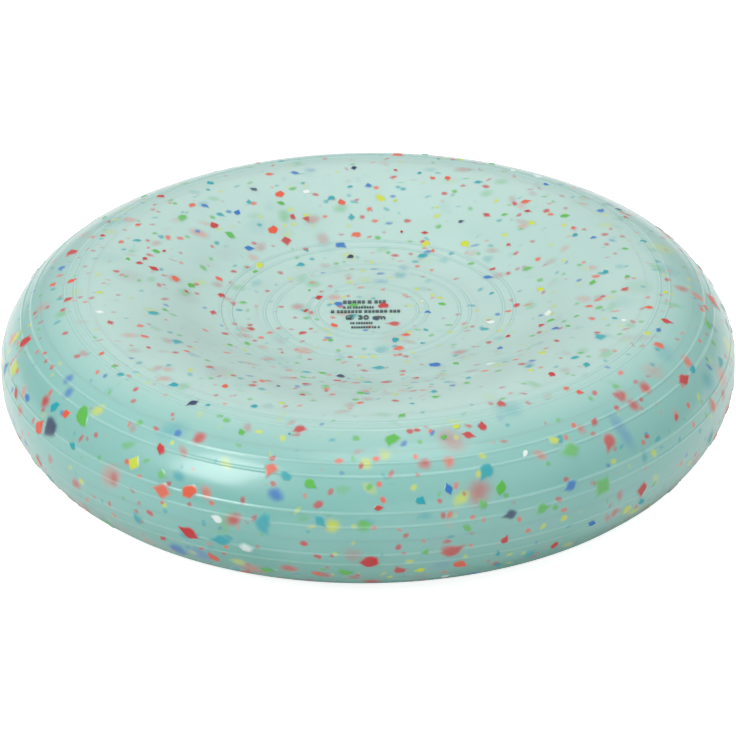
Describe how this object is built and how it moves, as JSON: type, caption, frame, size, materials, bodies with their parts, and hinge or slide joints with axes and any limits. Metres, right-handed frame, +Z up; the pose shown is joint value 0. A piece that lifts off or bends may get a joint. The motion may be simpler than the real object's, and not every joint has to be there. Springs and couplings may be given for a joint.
{
  "type": "wobble cushion",
  "caption": "Round inflatable balance disc with dished faces, moulded grip rings, a confetti-flecked vinyl skin and a needle valve underneath; its top tilts and its middle presses in.",
  "frame": {"origin": "centre of the level ring that the cushion stands on", "axes": "+Z up through the middle of the cushion; +X and +Y are level, towards any two points of its round edge a quarter turn apart"},
  "size_m": [0.3, 0.3, 0.0671],
  "materials": {
    "vinyl_skin": "glossy soft vinyl, milky mint, slightly translucent",
    "valve_vinyl": "glossy soft vinyl, mint, a little deeper than the skin",
    "valve_rubber": "matt soft rubber, light grey",
    "stopper_plastic": "satin flexible plastic, off-white",
    "red_flake": "opaque vinyl chip under a glossy skin",
    "coral_flake": "opaque vinyl chip under a glossy skin",
    "turquoise_flake": "opaque vinyl chip under a glossy skin",
    "blue_flake": "opaque vinyl chip under a glossy skin",
    "navy_flake": "opaque vinyl chip under a glossy skin",
    "green_flake": "opaque vinyl chip under a glossy skin",
    "lime_flake": "opaque vinyl chip under a glossy skin",
    "white_flake": "opaque vinyl chip under a glossy skin"
  },
  "bodies": {
    "base": {"base_centre": "vinyl_skin", "base_inner_ring": "vinyl_skin", "base_outer_ring": "vinyl_skin", "foot_ring": "vinyl_skin", "valve_housing": "valve_vinyl", "valve_core": "valve_rubber", "red_flakes_base": "red_flake", "coral_flakes_base": "coral_flake", "turquoise_flakes_base": "turquoise_flake", "blue_flakes_base": "blue_flake", "navy_flakes_base": "navy_flake", "green_flakes_base": "green_flake", "lime_flakes_base": "lime_flake", "white_flakes_base": "white_flake"},
    "middle": {"lower_wall": "vinyl_skin", "red_flakes_lower_wall": "red_flake", "coral_flakes_lower_wall": "coral_flake", "turquoise_flakes_lower_wall": "turquoise_flake", "blue_flakes_lower_wall": "blue_flake", "navy_flakes_lower_wall": "navy_flake", "green_flakes_lower_wall": "green_flake", "lime_flakes_lower_wall": "lime_flake", "white_flakes_lower_wall": "white_flake"},
    "top": {"upper_wall": "vinyl_skin", "shoulder_ring": "vinyl_skin", "top_outer_ring": "vinyl_skin", "top_inner_ring": "vinyl_skin", "red_flakes_top": "red_flake", "coral_flakes_top": "coral_flake", "turquoise_flakes_top": "turquoise_flake", "blue_flakes_top": "blue_flake", "navy_flakes_top": "navy_flake", "green_flakes_top": "green_flake", "lime_flakes_top": "lime_flake", "white_flakes_top": "white_flake"},
    "centre": {"top_centre": "vinyl_skin", "red_flakes_centre": "red_flake", "coral_flakes_centre": "coral_flake", "turquoise_flakes_centre": "turquoise_flake", "blue_flakes_centre": "blue_flake", "navy_flakes_centre": "navy_flake", "green_flakes_centre": "green_flake", "lime_flakes_centre": "lime_flake", "white_flakes_centre": "white_flake"},
    "stopper": {"valve_stopper": "stopper_plastic"}
  },
  "joints": [
    {"name": "tilt_fore_aft", "type": "hinge", "parent": "base", "child": "middle", "pos_m": [0, 0, 0.0335], "axis": [1, 0, 0], "range_deg": [-6, 6], "stiffness_Nm_per_rad": 100, "deforming": ["lower_wall", "red_flakes_lower_wall", "coral_flakes_lower_wall", "turquoise_flakes_lower_wall", "blue_flakes_lower_wall", "navy_flakes_lower_wall", "green_flakes_lower_wall", "lime_flakes_lower_wall", "white_flakes_lower_wall"]},
    {"name": "tilt_side", "type": "hinge", "parent": "middle", "child": "top", "pos_m": [0, 0, 0.0335], "axis": [0, 1, 0], "range_deg": [-6, 6], "stiffness_Nm_per_rad": 100, "deforming": ["upper_wall", "red_flakes_top", "coral_flakes_top", "turquoise_flakes_top", "blue_flakes_top", "navy_flakes_top", "green_flakes_top", "lime_flakes_top", "white_flakes_top"]},
    {"name": "centre_press", "type": "slide", "parent": "top", "child": "centre", "axis": [0, 0, -1], "range_m": [0, 0.02], "stiffness_N_per_m": 2500, "deforming": ["top_outer_ring", "top_inner_ring"]},
    {"name": "stopper_pull", "type": "slide", "parent": "base", "child": "stopper", "axis": [0, 0, -1], "range_m": [0, 0.03]}
  ]
}
